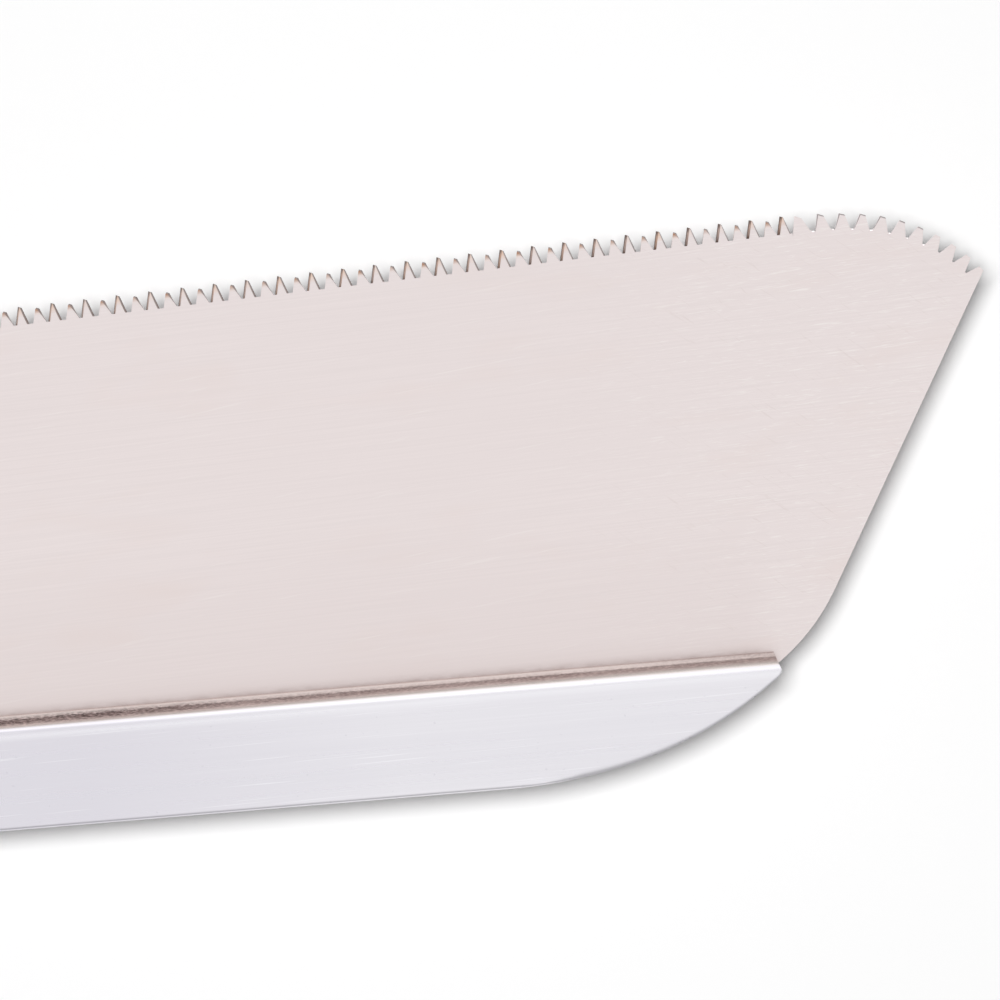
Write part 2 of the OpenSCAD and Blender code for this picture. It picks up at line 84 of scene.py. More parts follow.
def addNode(tree, kind, inputs=None, settings=None):
    node = tree.nodes.new(kind)
    for name, value in (settings or {}).items():
        setattr(node, name, value)
    setInputs(tree, node, inputs or {})
    return node


def newMaterial(name):
    material = bpy.data.materials.new(name)
    material.use_nodes = True
    tree = material.node_tree
    spot = addNode(tree, "ShaderNodeTexCoord").outputs["Object"]
    return material, tree, tree.nodes["Principled BSDF"], spot


# place on the open saw, in mm from the pivot
def placeOn(tree, spot):
    space = addNode(tree, "ShaderNodeMapping", {
        "Vector": spot, "Location": pivotSpot, "Scale": (mm, mm, mm),
    }, {"vector_type": "TEXTURE"})
    return addNode(tree, "ShaderNodeSeparateXYZ", {"Vector": space}).outputs


# noise stretched into streaks: length and width in mm, turn in degrees from X
def streaks(tree, spot, length, width, turn, detail=3.0, bend=0.0):
    space = addNode(tree, "ShaderNodeMapping", {
        "Vector": spot,
        "Rotation": (0.0, 0.0, math.radians(turn)),
        "Scale": (length * mm, width * mm, width * mm),
    }, {"vector_type": "TEXTURE"})
    noise = addNode(tree, "ShaderNodeTexNoise", {
        "Vector": space, "Scale": 1.0, "Detail": detail, "Roughness": 0.55, "Distortion": bend,
    })
    return noise.outputs["Fac"]


rangeKeys = ("Value", "From Min", "From Max", "To Min", "To Max")
# noise ranges: what most values lie in, and where metal is worn, grain stands out and dust gathers
noiseSpan, wornSpan, grainSpan, dustSpan = (0.3, 0.7), (0.5, 0.75), (0.35, 0.65), (0.48, 0.8)


# product of values; one with a range after it is brought to 0 and 1 first, or to the ends given
def product(tree, *parts):
    result = None
    for part in parts:
        if isinstance(part, tuple):
            part = addNode(tree, "ShaderNodeMapRange", dict(zip(rangeKeys, part)))
        if result is not None:
            part = addNode(tree, "ShaderNodeMath", {0: result, 1: part}, {"operation": "MULTIPLY"})
        result = part
    return result


# lays colours over a tone, each by its share
def layColours(tree, tone, *layers):
    for share, colour in layers:
        tone = addNode(tree, "ShaderNodeMix", {
            "Factor": share, "A": tone, "B": linear(colour) if isinstance(colour, str) else colour,
        }, {"data_type": "RGBA"})
    return tone


# lays marks over a tone: streaks, the noise range that they show in, their strength and their colour
def addMarks(tree, spot, tone, marks, *limits):
    for streak, span, strength, colour in marks:
        share = product(tree, (streaks(tree, spot, *streak), *span, 0.0, strength), *limits)
        tone = layColours(tree, tone, (share, colour))
    return tone


# gives the shader its tone, its roughness and a relief, whose depth is in mm
def finishWith(tree, shader, tone, roughness, relief, depth, plain):
    bump = addNode(tree, "ShaderNodeBump", {"Height": relief, "Distance": depth * mm, "Strength": 1.0})
    setInputs(tree, shader, {"Base Color": tone, "Roughness": roughness, "Normal": bump, **plain})


# worked metal: fine tool lines, a cloudy second tone and a roughness that follows the lines
def metalFinish(name, look):
    material, tree, shader, spot = newMaterial(name)
    lines = streaks(tree, spot, *look["lines"])
    tone = layColours(tree, linear(look["shade"]), (product(tree, (lines, *noiseSpan)), look["tone"]))
    tone = addMarks(tree, spot, tone, [(look["cloud"], wornSpan, 1.0, look["worn"])])
    roughness = product(tree, (lines, *noiseSpan, *look["roughness"]))
    finishWith(tree, shader, tone, roughness, lines, look["depth"], {"Metallic": 1.0})
    return material


# moulded or coated surface: a fine grain in the bump, and a dusty second tone
def mouldedFinish(name, look):
    material, tree, shader, spot = newMaterial(name)
    grain = streaks(tree, spot, look["grain"], look["grain"], turn=0.0, detail=2.0)
    cloud = streaks(tree, spot, look["cloud"], look["cloud"], turn=0.0)
    tone = layColours(tree, linear(look["shade"]),
                      (product(tree, (grain, *grainSpan)), look["tone"]),
                      (product(tree, (cloud, *dustSpan)), look["worn"]))
    roughness = product(tree, (cloud, *noiseSpan, *look["roughness"]))
    finishWith(tree, shader, tone, roughness, grain, look["depth"], {"IOR": look["ior"]})
    return material


plateSteel = {
    "shade": "#e6dcdb", "tone": "#ebe1e0", "grime": "#d6c8c6", "shadowAndOil": "#bcadaa", "straw": "#dfb494",
    "cap": "#9c6945", "grind": (16.0, 0.17, 2.0), "grindSpan": (0.32, 0.68), "depth": 0.0015,
    "roughness": (0.30, 0.37),
    "marks": [
        ((14.0, 5.0, 4.0, 2.0), (0.55, 0.8), 0.6, "#e6d8d4"),  # smudges
        ((70.0, 18.0, 2.0, 1.0), (0.45, 0.75), 0.35, "#e6dcdb"),  # broad shade
        ((7.0, 0.26, 8.0, 3.0, 0.4), (0.64, 0.74), 0.4, "#f0e9e7"),  # long scratches
    ],
    "noseMarks": [
        ((2.4, 0.22, -38.0, 3.0, 0.8), (0.62, 0.76), 0.4, "#d6c9c6"),  # slanted nicks
        ((2.2, 0.12, 3.0, 2.0, 1.2), (0.58, 0.7), 0.9, "#f0e9e7"),  # hair scratches
    ],
    # in mm from the pivot: where the nose marks set in, where the spine ends, and the edge of its lip
    "noseFrom": (217.0, 237.0), "spineEnd": (238.2, 235.2), "lipEdge": -15.1,
    # in mm over the lip's edge: where the painted shade towards the lip and the painted shadow beside it
    # begin and are full
    "shadeFar": (14.0, 1.0), "shadeNear": (2.6, 0.3), "oiled": (0.9, 0.1),
    "farShare": 0.26, "nearShare": 0.32, "pastSpine": 0.3, "lipShadowFade": 2.2,
    "dabs": (1.4, 0.5, 0.0, 3.0), "dabShares": (0.35, 0.75),
    # temper colours: where they begin and are full on a tooth's height, and the shares its tint gives
    "strawFrom": (0.4, 0.95), "strawShares": (0.25, 0.9),
    "capFrom": (0.5, 0.72, 0.0, 0.95), "capShares": (0.5, 1.0),
}


# spring steel sheet, ground lengthwise: a pale, slightly warm satin with hair-fine streaks;
# the grit lines are near 0.03 mm and are drawn coarser, so that they show
def makePlateSteel():
    look = plateSteel
    material, tree, shader, spot = newMaterial("groundSpringSteel")
    place = placeOn(tree, spot)
    grind = streaks(tree, spot, *look["grind"])
    tone = layColours(tree, linear(look["shade"]), (product(tree, (grind, *look["grindSpan"])), look["tone"]))
    tone = addMarks(tree, spot, tone, look["marks"])
    tone = addMarks(tree, spot, tone, look["noseMarks"], (place["X"], *look["noseFrom"]))
    # painted shade darkens the plate towards the spine, partly as handling grime, and a painted shadow,
    # partly old oil, lies right beside its lip
    over = addNode(tree, "ShaderNodeMath", {0: place["Y"], 1: look["lipEdge"]}, {"operation": "SUBTRACT"})
    near = (over, *look["shadeNear"])
    shadeTowardsLip = addNode(tree, "ShaderNodeMath", {
        0: product(tree, (over, *look["shadeFar"], 0.0, look["farShare"])),
        1: product(tree, near, near, look["nearShare"]),
    }, {"operation": "ADD"})
    shadeTowardsLip = product(tree, shadeTowardsLip, (place["X"], *look["spineEnd"], look["pastSpine"], 1.0))
    lipShadowAndOil = addNode(tree, "ShaderNodeMath", {
        0: product(tree, (over, *look["oiled"])), 1: look["lipShadowFade"],
    }, {"operation": "POWER"})
    dabs = streaks(tree, spot, *look["dabs"])
    lipShadowAndOil = product(tree, lipShadowAndOil, (dabs, *noiseSpan, *look["dabShares"]), (place["X"], *look["spineEnd"]))
    # teeth carry "tip", from 0 at the gullet to 1 at the point, and short ones "cap" on their upper side
    tip, tint, cap = (
        addNode(tree, "ShaderNodeAttribute", settings={"attribute_name": label}).outputs["Fac"]
        for label in ("tip", "toothTint", "cap"))
    warm = product(tree, (tip, *look["strawFrom"]), (tint, 0.0, 1.0, *look["strawShares"]))
    browned = product(tree, cap, (tip, *look["capFrom"]), (tint, 0.0, 1.0, *look["capShares"]))
    # the shade towards the lip and the shadow beside it are painted into the tone
    tone = layColours(tree, tone, (shadeTowardsLip, look["grime"]), (lipShadowAndOil, look["shadowAndOil"]),
                      (warm, look["straw"]), (browned, look["cap"]))
    roughness = product(tree, (grind, *noiseSpan, *look["roughness"]))
    finishWith(tree, shader, tone, roughness, grind, look["depth"], {"Metallic": 1.0})
    return material


toothEdge = {
    "dull": "#a8938d", "brown": "#bf987f", "bare": "#d8bdaf", "flank": "#83736f", "rim": "#5d4d48",
    "burnt": "#56443c", "specks": (0.35, 0.12, 76.0, 2.0), "depth": 0.004, "roughness": (0.32, 0.46),
    # where each tone begins and is full, and its shares there
    "bareFrom": (0.42, 0.66, 0.0, 0.8), "rimFrom": (0.45, 0.8, 0.0, 0.85),
    "burntFrom": (0.68, 0.92, 0.0, 0.85), "flankShadeShare": 0.85,
}


# tooth edges after the hardening pulse and the file: brown oxide, dark at the point; the right flanks and
# tops get a painted shade
def makeFiledSteel():
    look = toothEdge
    material, tree, shader, spot = newMaterial("filedHardenedSteel")
    tint, tip, rim, flank = (
        addNode(tree, "ShaderNodeAttribute", settings={"attribute_name": label}).outputs["Fac"]
        for label in ("toothTint", "tip", "rim", "backFlank"))
    speck = streaks(tree, spot, *look["specks"])
    tone = layColours(tree, linear(look["dull"]), (tint, look["brown"]),
                      (product(tree, (speck, *look["bareFrom"])), look["bare"]),
                      # painted shade on the right flanks and tops
                      (product(tree, flank, look["flankShadeShare"]), look["flank"]),
                      (product(tree, (rim, *look["rimFrom"])), look["rim"]),
                      (product(tree, (tip, *look["burntFrom"])), look["burnt"]))
    roughness = product(tree, (speck, *noiseSpan, *look["roughness"]))
    finishWith(tree, shader, tone, roughness, speck, look["depth"], {"Metallic": 1.0})
    return material


spineMetal = {
    "shade": "#e6e4e9", "tone": "#ebe9ee", "heel": "#dcd9e1", "paintedHighlight": "#f7f6fa", "paintedGlow": "#fbefe8",
    "film": "#e0d0cb", "stain": "#8b7775", "dust": "#c6b5b2", "pitch": "#524644",
    "lines": (60.0, 0.35, 0.0), "depth": 0.0012, "roughness": (0.26, 0.33), "dirtRoughness": 0.14,
    "clouds": [((60.0, 3.0, 0.0, 1.0), (0.45, 0.7), 0.4, "#e1dfe5")],
    "marks": [
        ((0.5, 0.4, 0.0, 1.0), (0.72, 0.78), 0.35, "#cbc9d1"),  # specks
        ((11.0, 0.09, 1.2, 1.0), (0.68, 0.75), 0.7, "#f7f6fa"),  # scores
    ],
    # dirt and painted shade in the lip's hollow: its streaks, and the noise range that they show in
    "patch": (0.36, 0.17, 0.0, 5.0), "patchSpan": (0.36, 0.64),
    "crumbs": (0.36, 0.1, 0.0, 3.0), "crumbSpan": (0.56, 0.4, 0.0, 0.9),
    "drift": (14.0, 4.0, 0.0, 1.0), "driftSpan": (0.35, 0.65, 0.72, 1.0),
    # two places along the blade, in mm from the pivot, and what is given there
    "heelTone": (205.0, 179.0, 0.0, 0.75), "climb": (211.0, 179.0, 0.0, 0.07),
    "clogged": (217.0, 237.5, 0.0, 0.7), "crumbly": (217.0, 181.0, 0.15, 1.0),
    # the shoulder, from the pivot, and two heights over it with what is given there
    "shoulder": -16.3, "highlightTailFrom": (-1.1, -0.6, 0.0, 0.5), "highlightTailTo": (-0.3, -0.6),
    "hollowFrom": (0.17, 0.61, 0.0, 1.0), "hollowTo": (0.66, 1.06, 1.0, 0.12),
    "paintedGlowFrom": (0.0, 0.2, 0.0, 0.85), "filmShare": 0.8,
}


# drawn aluminium strip: cool, even satin with long faint die lines and a few specks;
# the hollow of its lip is darkened, partly by dried oil and steel dust, patchy and warm grey, and partly by
# painted shade
def makeSpineAlloy():
    look = spineMetal
    material, tree, shader, spot = newMaterial("drawnAluminium")
    place = placeOn(tree, spot)
    over = addNode(tree, "ShaderNodeMath", {0: place["Y"], 1: look["shoulder"]}, {"operation": "SUBTRACT"})
    lines = streaks(tree, spot, *look["lines"])
    tone = layColours(tree, linear(look["shade"]), (product(tree, (lines, *noiseSpan)), look["tone"]))
    tone = addMarks(tree, spot, tone, look["clouds"])
    tone = layColours(tree, tone, (product(tree, (place["X"], *look["heelTone"])), look["heel"]))
    tone = addMarks(tree, spot, tone, look["marks"])
    # painted highlight: the face is painted brighter just below its shoulder, a soft tail of the shoulder's
    # highlight
    paintedHighlight = product(tree, (over, *look["highlightTailFrom"]), (over, *look["highlightTailTo"]))
    # the dirt and painted shade lie wider and darker towards the heel
    climb = product(tree, (place["X"], *look["climb"]))
    sides = []
    for way, span in (("ADD", look["hollowFrom"]), ("SUBTRACT", look["hollowTo"])):
        height = addNode(tree, "ShaderNodeMath", {0: over, 1: climb}, {"operation": way})
        sides.append(addNode(tree, "ShaderNodeMapRange", dict(zip(rangeKeys, (height, *span))),
                             {"interpolation_type": "SMOOTHSTEP"}))
    up, down = sides
    hollow = addNode(tree, "ShaderNodeMath", {
        0: product(tree, up, down), 1: product(tree, up, (place["X"], *look["clogged"])),
    }, {"operation": "MAXIMUM"})
    patch, crumbs, drift = (streaks(tree, spot, *look[key]) for key in ("patch", "crumbs", "drift"))
    dirtAndShade = product(tree, hollow, (drift, *look["driftSpan"]))
    crumbs = product(tree, (crumbs, *look["crumbSpan"]), (place["X"], *look["crumbly"]))
    soiledAndShaded = layColours(tree, linear(look["stain"]),
                        (product(tree, (patch, *look["patchSpan"])), look["dust"]), (crumbs, look["pitch"]))
    # a warm strip just over the shoulder is painted lighter, a painted highlight on the bend, which mirrors
    # dim walls there
    tone = layColours(tree, tone, (paintedHighlight, look["paintedHighlight"]),
                      (product(tree, (over, *look["paintedGlowFrom"])), look["paintedGlow"]),
                      (product(tree, up, look["filmShare"]), look["film"]), (dirtAndShade, soiledAndShaded))
    roughness = addNode(tree, "ShaderNodeMath", {
        0: hollow, 1: look["dirtRoughness"], 2: product(tree, (lines, *noiseSpan, *look["roughness"])),
    }, {"operation": "MULTIPLY_ADD"})
    finishWith(tree, shader, tone, roughness, lines, look["depth"], {"Metallic": 1.0})
    return material


steel = makePlateSteel()
filedSteel = makeFiledSteel()
spineAlloy = makeSpineAlloy()

# steel as the file leaves it, cold: plain grey, with short lines across the edge
filedGrey = metalFinish("filedSpringSteel", {
    "tone": "#b6adad", "shade": "#a39a9b", "worn": "#c2b8b7", "lines": (0.4, 0.08, 80.0),
    "cloud": (0.8, 0.8, 0.0), "roughness": (0.3, 0.42), "depth": 0.002,
})
# burrs on the gullet edges, rubbed bright by a stone
stonedSteel = metalFinish("stonedSpringSteel", {
    "tone": "#f6f2f1", "shade": "#efeaea", "worn": "#f9f6f5", "lines": (0.3, 0.06, 0.0),
    "cloud": (0.6, 0.6, 0.0), "roughness": (0.08, 0.16), "depth": 0.0005,
})
# tumbled steel cheeks: soft grey, short random marks
tangSteel = metalFinish("tumbledSteel", {
    "tone": "#c6c7ca", "shade": "#b4b5b9", "worn": "#a9a8a9", "lines": (1.6, 0.25, 35.0),
    "cloud": (9.0, 6.0, 0.0), "roughness": (0.32, 0.44), "depth": 0.003,
})
# brushed aluminium frame plates: lines along the handle
linerAlloy = metalFinish("brushedAluminium", {
    "tone": "#bfc1c5", "shade": "#a9abb0", "worn": "#9c9ca0", "lines": (22.0, 0.25, 0.0),
    "cloud": (20.0, 4.0, 0.0), "roughness": (0.3, 0.42), "depth": 0.002,
})
# zinc plated turned steel: bluish grey, tight turning marks drawn a little coarse
fastenerSteel = metalFinish("zincPlatedSteel", {
    "tone": "#b9bdc4", "shade": "#a2a6ad", "worn": "#8d8f95", "lines": (1.2, 0.12, 20.0),
    "cloud": (2.5, 2.5, 0.0), "roughness": (0.24, 0.38), "depth": 0.002,
})
# sintered bronze: dull gold with darker pores
bronze = metalFinish("turnedBronze", {
    "tone": "#b8935c", "shade": "#a07d4a", "worn": "#84663c", "lines": (0.4, 0.15, 0.0),
    "cloud": (3.0, 3.0, 0.0), "roughness": (0.35, 0.5), "depth": 0.003,
})
# tempered leaf: blue-grey oxide with straw patches
springSteel = metalFinish("temperedSpringSteel", {
    "tone": "#8f95a1", "shade": "#7d838f", "worn": "#9a8a74", "lines": (6.0, 0.15, 0.0),
    "cloud": (6.0, 3.0, 0.0), "roughness": (0.3, 0.42), "depth": 0.002,
})
# blackened steel lever: near black, slightly brown where it is rubbed
leverSteel = metalFinish("blackenedSteel", {
    "tone": "#4b4a4a", "shade": "#3d3c3d", "worn": "#6a6361", "lines": (3.0, 0.2, 15.0),
    "cloud": (5.0, 2.5, 0.0), "roughness": (0.36, 0.5), "depth": 0.003,
})
# powder coat: charcoal with a fine orange-peel skin
bolsterCoat = mouldedFinish("powderCoat", {
    "tone": "#4a4c50", "shade": "#404246", "worn": "#55575b", "grain": 0.55, "cloud": 14.0,
    "roughness": (0.42, 0.52), "depth": 0.012, "ior": 1.5,
})
# moulded rubber: matt black with a pebbled skin, a little grey with dust
gripRubber = mouldedFinish("mouldedRubber", {
    "tone": "#232324", "shade": "#1b1b1c", "worn": "#2f2e2d", "grain": 0.5, "cloud": 18.0,
    "roughness": (0.58, 0.74), "depth": 0.045, "ior": 1.52,
})
# red rubber pad: matt, faded on its crests
padRubber = mouldedFinish("redRubber", {
    "tone": "#a3231c", "shade": "#8e1d18", "worn": "#b0372d", "grain": 0.4, "cloud": 7.0,
    "roughness": (0.5, 0.64), "depth": 0.02, "ior": 1.52,
})
# glass-filled nylon spacers: dark grey, faint fibre mottling
nylon = mouldedFinish("mouldedNylon", {
    "tone": "#38383a", "shade": "#303032", "worn": "#424244", "grain": 0.35, "cloud": 8.0,
    "roughness": (0.48, 0.6), "depth": 0.012, "ior": 1.53,
})
print("materials made:", len(bpy.data.materials))


def addObject(name, mesh):
    thing = bpy.data.objects.new(name, mesh)
    scene.collection.objects.link(thing)
    return thing


def meshFrom(name, points, faces):
    mesh = bpy.data.meshes.new(name)
    mesh.from_pydata([tuple(p) for p in points], [], faces)
    mesh.update()
    return mesh


# faces of a tube through rings of count points each: its two ends, then its sides
def tubeFaces(rings, count):
    faces = [list(reversed(range(count))), [(rings - 1) * count + k for k in range(count)]]
    for r in range(rings - 1):
        for k in range(count):
            j = (k + 1) % count
            faces.append([r * count + k, r * count + j, (r + 1) * count + j, (r + 1) * count + k])
    return faces


# merges points closer than gap, in mm, and turns the faces outwards
def mend(mesh, gap, slivers=False):
    work = bmesh.new()
    work.from_mesh(mesh)
    bmesh.ops.remove_doubles(work, verts=work.verts, dist=gap * mm)
    if slivers:
        bmesh.ops.dissolve_degenerate(work, edges=work.edges, dist=gap * mm)
    bmesh.ops.recalc_face_normals(work, faces=work.faces)
    work.to_mesh(mesh)
    work.free()


cadCopy = {"gap": 0.002, "flatness": 1.0, "bevelSteps": 3, "crease": 35.0}


# merged copy of a CAD node's mesh, with its flat faces joined up again
def copyNode(name, node):
    look = cadCopy
    work = bmesh.new()
    work.from_mesh(frame["nodes"][node].data)
    bmesh.ops.remove_doubles(work, verts=work.verts, dist=look["gap"] * mm)
    flat = math.radians(look["flatness"])
    bmesh.ops.dissolve_limit(work, angle_limit=flat, verts=work.verts, edges=work.edges)
    work.verts.index_update()
    points = [v.co.copy() for v in work.verts]
    faces = [[v.index for v in f.verts] for f in work.faces]
    work.free()
    return addObject(name, meshFrom(name, points, faces))


# turns an object's modifiers into a plain mesh
def settle(thing):
    graph = bpy.context.evaluated_depsgraph_get()
    shown = thing.evaluated_get(graph)
    made = bpy.data.meshes.new_from_object(shown, preserve_all_data_layers=True, depsgraph=graph)
    old = thing.data
    thing.modifiers.clear()
    thing.data = made
    made.name = thing.name
    if old.users == 0:
        bpy.data.meshes.remove(old)


def shade(thing, angle=cadCopy["crease"]):
    thing.data.shade_smooth()
    thing.data.set_sharp_from_angle(angle=math.radians(angle))


def paint(thing, *finishes):
    thing.data.materials.clear()
    for finish in finishes:
        thing.data.materials.append(finish)


# a piece with no finish given has its materials already
def dress(thing, body, node, finish=None):
    if finish is not None:
        paint(thing, finish)
    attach(thing, body)
    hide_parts(node)


# copy of a CAD node with its edges broken
def breakEdges(name, node, width):
    look = cadCopy
    thing = copyNode(name, node)
    bevel = thing.modifiers.new("edgeBreak", "BEVEL")
    bevel.width = width * mm
    bevel.segments = look["bevelSteps"]
    bevel.limit_method = "ANGLE"
    bevel.angle_limit = math.radians(look["crease"])
    settle(thing)
    shade(thing)
    return thing


def cutWith(thing, cutter):
    cut = thing.modifiers.new("cut", "BOOLEAN")
    cut.operation = "DIFFERENCE"
    cut.solver = "EXACT"
    cut.object = cutter
    bpy.context.view_layer.update()
    settle(thing)
    bpy.data.objects.remove(cutter)


# new node tree, with a geometry in and out and named inputs
def newTree(name, inputs):
    tree = bpy.data.node_groups.new(name, "GeometryNodeTree")
    tree.interface.new_socket("Geometry", in_out="INPUT", socket_type="NodeSocketGeometry")
    keys = {}
    for label, kind in inputs.items():
        socket = tree.interface.new_socket(label, in_out="INPUT", socket_type="NodeSocket" + kind)
        keys[label] = socket.identifier
    tree.interface.new_socket("Geometry", in_out="OUTPUT", socket_type="NodeSocketGeometry")
    return tree, keys, addNode(tree, "NodeGroupInput").outputs


# runs a node tree on a piece and keeps the result as a plain mesh
def growWith(thing, tree, keys, values):
    grown = thing.modifiers.new("grown", "NODES")
    grown.node_group = tree
    for label, value in values.items():
        grown[keys[label]] = value
    settle(thing)


# height of a line of points at one place
def alongLine(line, place):
    for (start, low), (end, high) in zip(line, line[1:]):
        if place <= end:
            return low + (high - low) * max(0.0, (place - start) / (end - start + 1e-9))  # a step has no run
    return line[-1][1]


toothRow = {
    "count": 160, "toePitch": 1.32, "growth": 0.0009136, "graded": 48, "slope": 2.0, "lastTip": (241.1, 21.8),
    "room": 0.91, "cutReach": 2.0, "depth": 1.6, "face": 14.0, "set": 0.11, "halfPlate": 0.25, "seed": 7,
    "tall": {"height": 1.6, "shift": 0.0, "top": 0.3, "fall": 24.0, "back": 19.0, "flare": 0.0},
    "short": {"height": 1.35, "shift": 0.14, "top": 0.29, "fall": 21.6, "back": 22.0, "flare": 0.06},
    # insets of the filed side: left flank, right flank, top,
    # and the share of the right flank's inset at its knee and foot
    "tallFile": (0.22, 0.14, 0.12, 1.0, 1.0), "shortFile": (0.04, 0.13, 0.15, 0.5, 0.0),
    "shortUnder": (0.04, 0.0, 0.0, 1.0, 1.0), "knee": 0.65, "leastTop": 0.02, "gap": 0.001, "crease": 25.0,
}


# outline of one tooth on the tooth line: left foot, point, right end of its top, knee and right foot;
# the insets draw in its left flank, right flank and top
def toothOutline(tooth, leftIn=0.0, rightIn=0.0, topIn=0.0, kneeShare=1.0, footShare=1.0):
    look = toothRow
    faceRun, backRun = math.tan(math.radians(look["face"])), math.tan(math.radians(tooth["back"]))
    fall = math.tan(math.radians(tooth["fall"]))
    bottom, crest = -look["depth"], tooth["height"] - look["depth"]
    tip = crest * faceRun + tooth["shift"]
    topRight, topLow = tip + tooth["top"], crest - tooth["top"] * fall
    knee = bottom + look["knee"]
    kneeRight = topRight + (topLow - knee) * backRun
    footRight = topRight + (topLow - bottom) * backRun + tooth["flare"]
    left = tip + leftIn - topIn * faceRun
    right = max(topRight - rightIn, left + look["leastTop"])
    return [
        (tip - tooth["height"] * faceRun + leftIn, bottom), (left, crest - topIn),
        (right, crest - topIn - (right - left) * fall), (kneeRight - rightIn * kneeShare, knee),
        (footRight - rightIn * footShare, bottom),
    ]


def toothMesh(name, upper, lower, lean):
    look = toothRow
    half = look["halfPlate"]
    points, tips, rims = [], [], []
    for outline, side in ((lower, -1.0), (upper, 1.0)):
        for u, v in outline:
            rise = (v + look["depth"]) / look["depth"]
            points.append(Vector((u, v, side * half + lean * look["set"] * rise)) * mm)
            tips.append(rise)
            rims.append(1.0 if side < 0 else 0.0)
    count = len(upper)
    # faces: under side, upper side, left flank, top, right flank over and under its knee, foot
    mesh = meshFrom(name, points, tubeFaces(2, count))
    mend(mesh, look["gap"])
    # height towards the point, outer edge of a bevel, filed faces, upper side of a short tooth,
    # and the faces that look up or to the toe, which are painted darker as shade
    for label, kind, domain, values in (
        ("tip", "FLOAT", "POINT", tips), ("rim", "FLOAT", "POINT", rims),
        ("filed", "BOOLEAN", "FACE", [0, 0, 1, 1, 1, 1, 0]),
        ("cap", "FLOAT", "FACE", [0, lean < 0] + [0] * count),
        ("backFlank", "FLOAT", "FACE", [0, 0, 0, 0.5, 1, 1, 0]),
    ):
        mesh.attributes.new(label, kind, domain).data.foreach_set("value", values)
    return addObject(name, mesh)


# alternate teeth along the tooth line, whose pitch grows from the toe, with a random temper for each
def buildToothTree():
    tree, keys, given = newTree("setTeeth", {
        "Tall tooth": "Object", "Short tooth": "Object", "Tooth count": "Int", "Toe pitch": "Float",
        "Growth": "Float", "Graded teeth": "Int", "Slope": "Float", "Last point": "Vector",
        "Temper seed": "Int", "Plate steel": "Material", "Filed steel": "Material",
    })
    # way back from the last point: index x toe pitch + growth x graded x (2 x index - graded)
    index = addNode(tree, "GeometryNodeInputIndex")
    graded = addNode(tree, "ShaderNodeMath", {0: index, 1: given["Graded teeth"]}, {"operation": "MINIMUM"})
    twice = addNode(tree, "ShaderNodeMath", {0: index, 1: index}, {"operation": "ADD"})
    spread = addNode(tree, "ShaderNodeMath", {0: twice, 1: graded}, {"operation": "SUBTRACT"})
    gain = product(tree, given["Growth"], graded, spread)
    along = addNode(tree, "ShaderNodeMath", {
        0: index, 1: given["Toe pitch"], 2: gain,
    }, {"operation": "MULTIPLY_ADD"})
    back = addNode(tree, "ShaderNodeCombineXYZ", {"X": product(tree, along, -1.0)})
    start = addNode(tree, "GeometryNodeMeshLine", {
        "Count": given["Tooth count"], "Offset": (0.0, 0.0, 0.0),
    })
    line = addNode(tree, "GeometryNodeSetPosition", {"Geometry": start, "Position": back})
    isOdd = addNode(tree, "ShaderNodeMath", {0: index, 1: 2.0}, {"operation": "MODULO"})
    isEven = addNode(tree, "ShaderNodeMath", {0: isOdd, 1: 0.5}, {"operation": "LESS_THAN"})
    rows = addNode(tree, "GeometryNodeJoinGeometry")
    for label, chosen in (("Short tooth", isOdd), ("Tall tooth", isEven)):
        tooth = addNode(tree, "GeometryNodeObjectInfo", {"Object": given[label]})
        placed = addNode(tree, "GeometryNodeInstanceOnPoints", {
            "Points": line, "Selection": chosen, "Instance": tooth.outputs["Geometry"],
        })
        setInputs(tree, rows, {"Geometry": placed})
    temper = addNode(tree, "FunctionNodeRandomValue", {"Seed": given["Temper seed"]}, {"data_type": "FLOAT"})
    tinted = addNode(tree, "GeometryNodeStoreNamedAttribute", {
        "Geometry": rows, "Name": "toothTint", "Value": temper,
    }, {"data_type": "FLOAT", "domain": "INSTANCE"})
    turn = addNode(tree, "ShaderNodeCombineXYZ", {"Z": given["Slope"]})
    seated = addNode(tree, "GeometryNodeTransform", {
        "Geometry": tinted, "Translation": given["Last point"], "Rotation": turn,
    })
    real = addNode(tree, "GeometryNodeRealizeInstances", {"Geometry": seated})
    plain = addNode(tree, "GeometryNodeSetMaterial", {
        "Geometry": real, "Material": given["Plate steel"],
    })
    isFiled = addNode(tree, "GeometryNodeInputNamedAttribute", {"Name": "filed"}, {"data_type": "BOOLEAN"})
    brown = addNode(tree, "GeometryNodeSetMaterial", {
        "Geometry": plain, "Material": given["Filed steel"], "Selection": isFiled,
    })
    addNode(tree, "NodeGroupOutput", {"Geometry": brown})
    return tree, keys


def makeTeeth():
    look = toothRow
    tall, short = look["tall"], look["short"]
    tallTooth = toothMesh("tallTooth", toothOutline(tall, *look["tallFile"]), toothOutline(tall), 1.0)
    shortTooth = toothMesh("shortTooth", toothOutline(short, *look["shortFile"]),
                           toothOutline(short, *look["shortUnder"]), -1.0)
    tree, keys = buildToothTree()
    teeth = addObject("setTeeth", bpy.data.meshes.new("setTeeth"))
    growWith(teeth, tree, keys, {
        "Tall tooth": tallTooth, "Short tooth": shortTooth, "Tooth count": look["count"],
        "Toe pitch": look["toePitch"] * mm, "Growth": look["growth"] * mm, "Graded teeth": look["graded"],
        "Slope": math.radians(look["slope"]), "Last point": fromPivot(*look["lastTip"]),
        "Temper seed": look["seed"], "Plate steel": steel, "Filed steel": filedSteel,
    })
    for shape in (tallTooth, shortTooth):
        bpy.data.objects.remove(shape)
    dress(teeth, "blade", "saw_plate")


